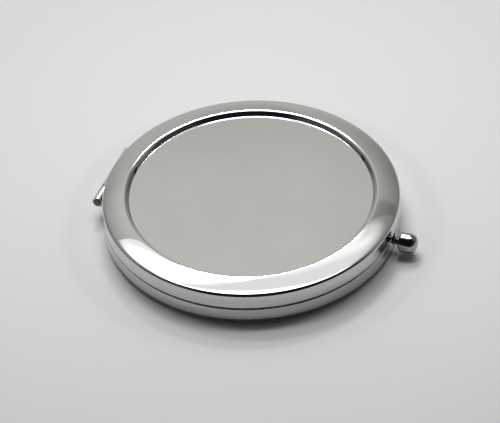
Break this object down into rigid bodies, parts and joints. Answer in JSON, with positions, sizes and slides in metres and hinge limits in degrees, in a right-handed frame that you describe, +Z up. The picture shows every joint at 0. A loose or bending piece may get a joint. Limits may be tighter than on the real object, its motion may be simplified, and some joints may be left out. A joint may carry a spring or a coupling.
{
  "type": "pocket mirror",
  "caption": "Round folding pocket mirror: plated case with a tray lid, rear hinge, plain and magnifying glasses, and a sprung push-button latch.",
  "frame": {"origin": "centre of the flat back of the base, on the surface that the closed case lies on", "axes": "+Z up out of the closed lid's tray, +Y towards the hinge, the push button at -Y"},
  "size_m": [0.0702, 0.0776, 0.0098],
  "materials": {
    "chrome": "polished chrome plate",
    "trim_chrome": "polished chrome plate",
    "mirror_glass": "silvered glass",
    "foam": "matt closed-cell foam",
    "steel": "turned steel",
    "latch_steel": "stamped steel",
    "spring_steel": "drawn spring wire"
  },
  "bodies": {
    "base": {"base_shell": "chrome", "base_frame": "trim_chrome", "base_mirror": "mirror_glass", "base_mirror_pad": "foam", "base_knuckle_left": "chrome", "base_knuckle_right": "chrome", "hinge_pin": "steel", "latch_bracket": "latch_steel", "latch_spring": "spring_steel"},
    "lid": {"lid_shell": "chrome", "lid_frame": "trim_chrome", "lid_mirror": "mirror_glass", "lid_mirror_pad": "foam", "lid_catch": "latch_steel", "lid_hinge_knuckle": "chrome"},
    "button": {"button_knob": "chrome", "button_stem": "steel", "latch_slide": "latch_steel"}
  },
  "joints": [
    {"name": "lid_hinge", "type": "hinge", "parent": "base", "child": "lid", "pos_m": [0, 0.0355, 0.00475], "axis": [-1, 0, 0], "range_deg": [0, 175]},
    {"name": "button_press", "type": "slide", "parent": "base", "child": "button", "axis": [0, 1, 0], "range_m": [0, 0.0009], "stiffness_N_per_m": 900, "springref_m": -0.0012, "deforming": ["latch_spring"]}
  ]
}
